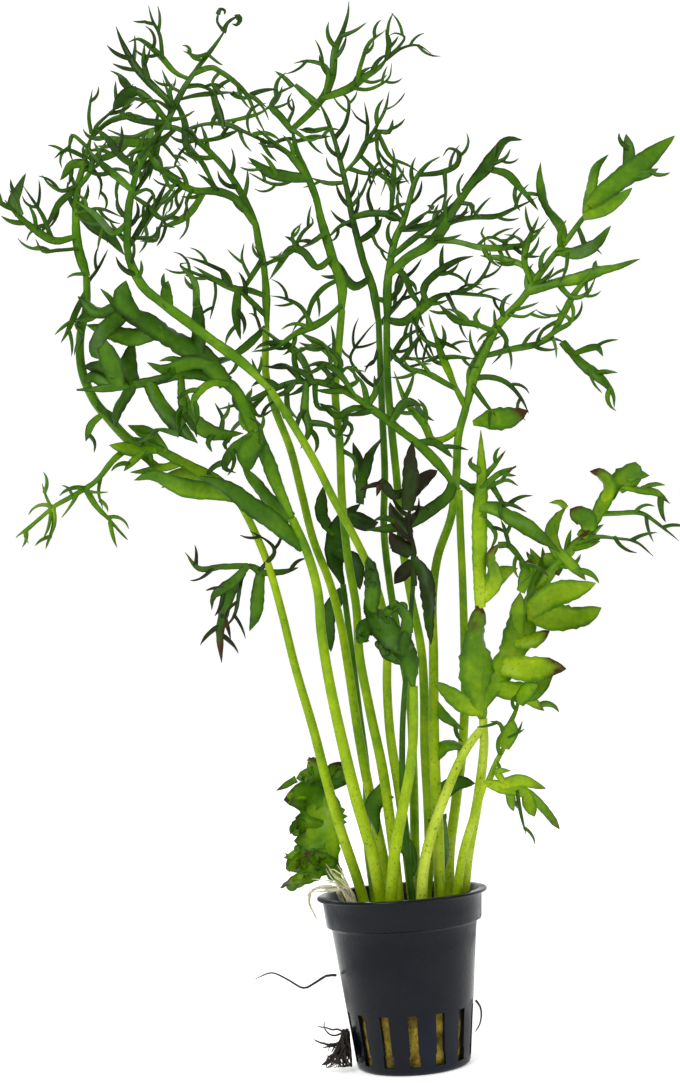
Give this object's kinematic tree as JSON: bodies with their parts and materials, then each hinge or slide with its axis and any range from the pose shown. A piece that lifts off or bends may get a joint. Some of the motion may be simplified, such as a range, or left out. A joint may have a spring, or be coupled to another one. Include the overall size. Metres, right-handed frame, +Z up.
{
  "type": "potted water sprite",
  "caption": "Water sprite fern, an aquarium plant with finely divided green fronds, rooted in mineral wool in a small black slotted net pot.",
  "frame": {"origin": "centre of the pot's underside", "axes": "+Z up along the pot's axis, -Y towards the front that the picture shows, +X to its right"},
  "size_m": [0.2033, 0.1022, 0.3255],
  "materials": {
    "pot": "satin",
    "wool": "matte",
    "crown": "matte",
    "leaf": "satin",
    "brown": "matte",
    "root": "matte",
    "pale_root": "matte"
  },
  "bodies": {
    "root": {"arching_frond": "leaf", "arching_frond_stalk": "leaf", "broad_frond": "leaf", "broad_frond_stalk": "leaf", "brown_left_leaf": "brown", "brown_lobe": "brown", "centre_left_frond": "leaf", "centre_left_frond_stalk": "leaf", "crown": "crown", "dark_back_leaf": "leaf", "dark_back_leaf_stalk": "leaf", "dark_leaflets": "brown", "dark_leaflets_stalk": "brown", "diagonal_frond": "leaf", "diagonal_frond_stalk": "leaf", "far_left_frond": "leaf", "far_left_frond_stalk": "leaf", "fiddlehead": "leaf", "fiddlehead_stalk": "leaf", "left_low_frond": "leaf", "left_low_frond_stalk": "leaf", "left_root": "root", "loop_root": "root", "low_right_leaf": "leaf", "net_pot": "pot", "right_middle_frond": "leaf", "right_middle_frond_stalk": "leaf", "rim_leaf": "leaf", "rim_roots": "pale_root", "root_clump": "root", "tall_middle_frond": "leaf", "tall_middle_frond_stalk": "leaf", "tall_right_frond": "leaf", "tall_right_frond_stalk": "leaf", "top_left_frond": "leaf", "top_left_frond_stalk": "leaf", "upper_middle_frond": "leaf", "upper_middle_frond_stalk": "leaf", "wool_plug": "wool"}
  },
  "joints": []
}
